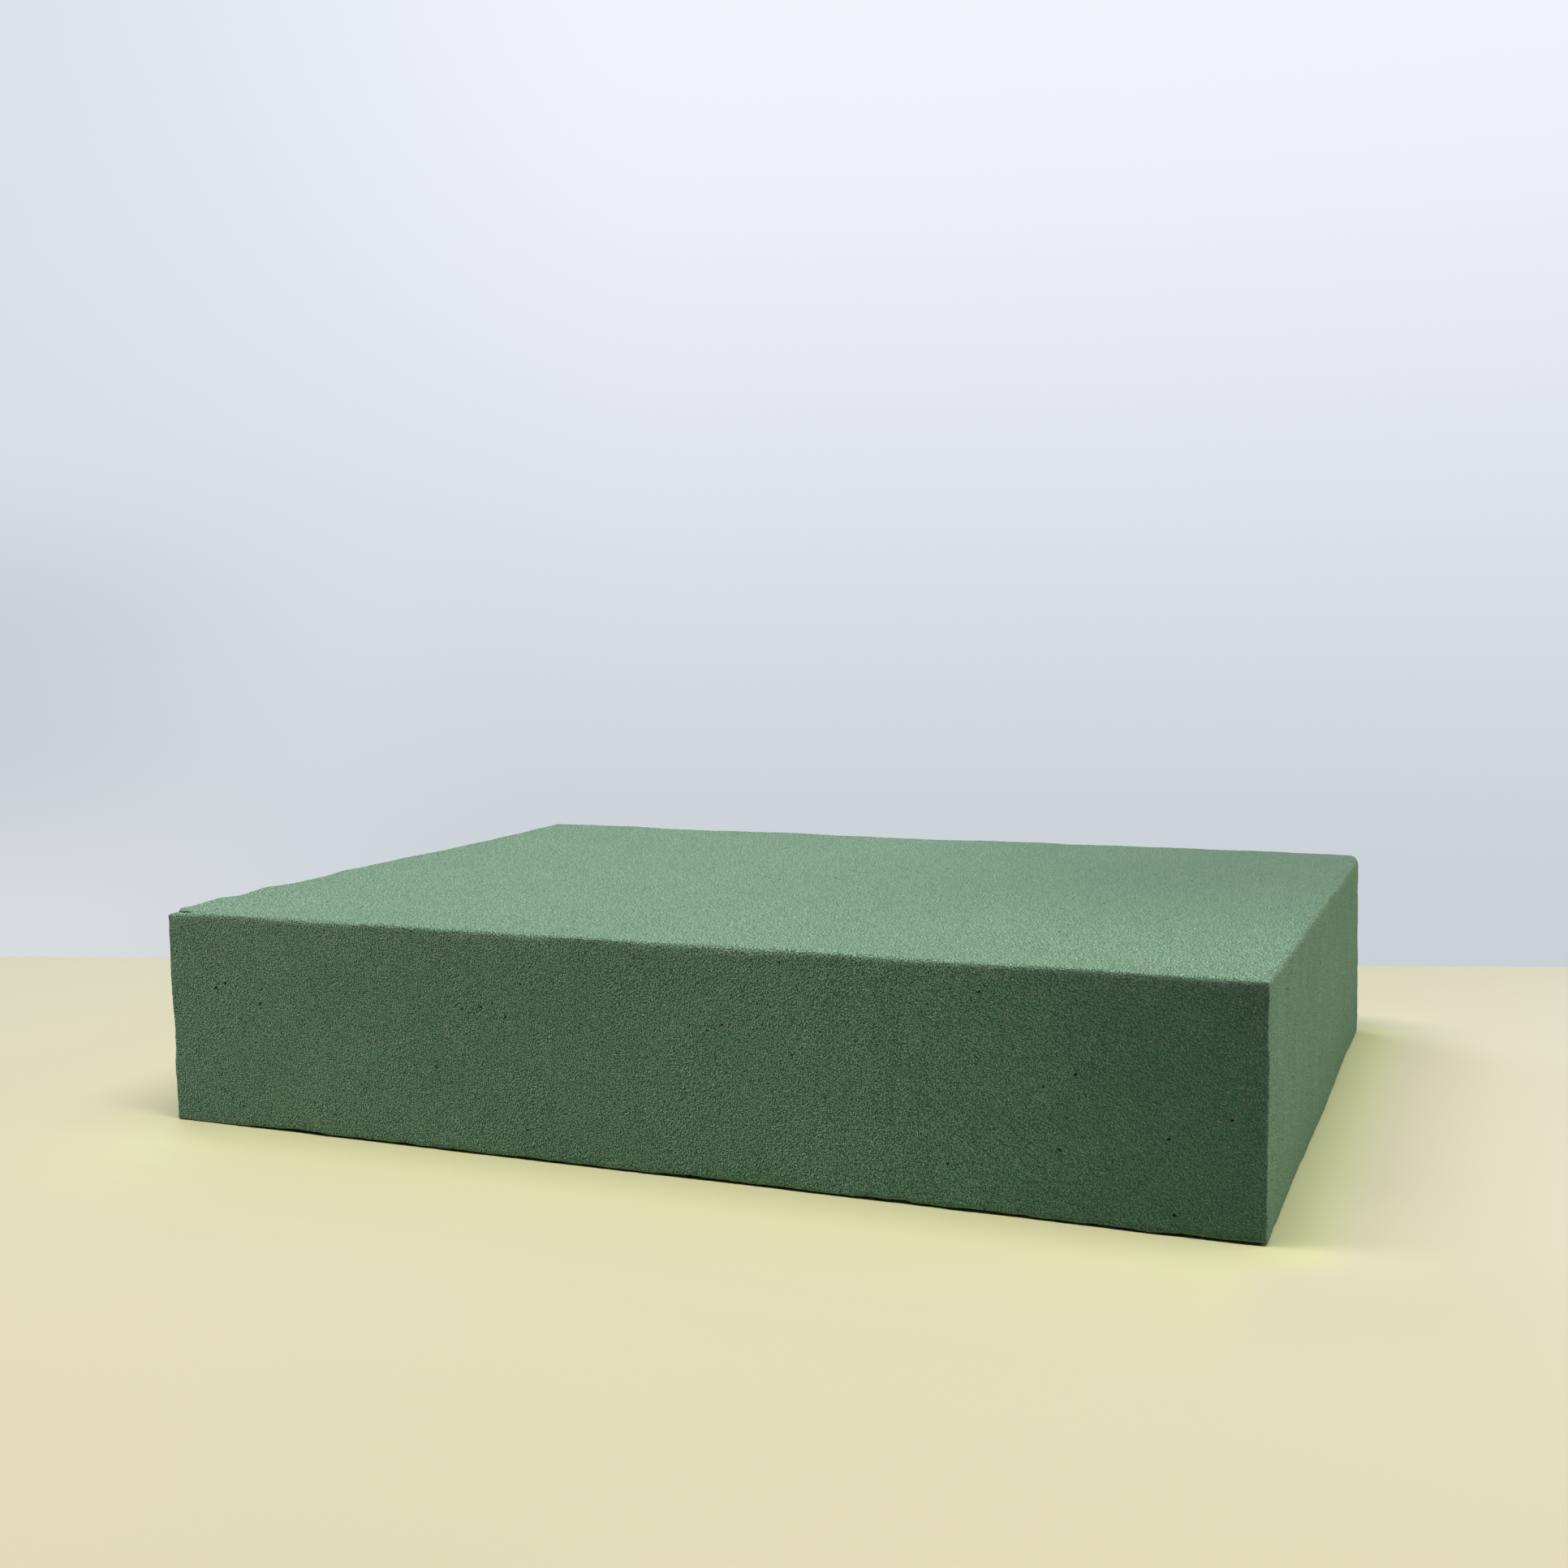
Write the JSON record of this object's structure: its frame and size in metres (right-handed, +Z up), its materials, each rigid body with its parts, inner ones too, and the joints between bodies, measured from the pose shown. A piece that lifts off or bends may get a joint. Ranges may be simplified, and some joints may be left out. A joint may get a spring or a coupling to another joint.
{
  "type": "floral foam block",
  "caption": "Large rectangular block of green floral foam that stands flat and takes flower stems pushed into its top.",
  "frame": {"origin": "centre of the base face, on the surface the block stands on", "axes": "+X along the block's length towards the right end, +Y from the front face to the back face, +Z up"},
  "size_m": [0.48, 0.356, 0.095],
  "materials": {
    "floral_foam": "matte, fine open-cell foam"
  },
  "bodies": {
    "root": {"foam_block": "floral_foam"}
  },
  "joints": []
}
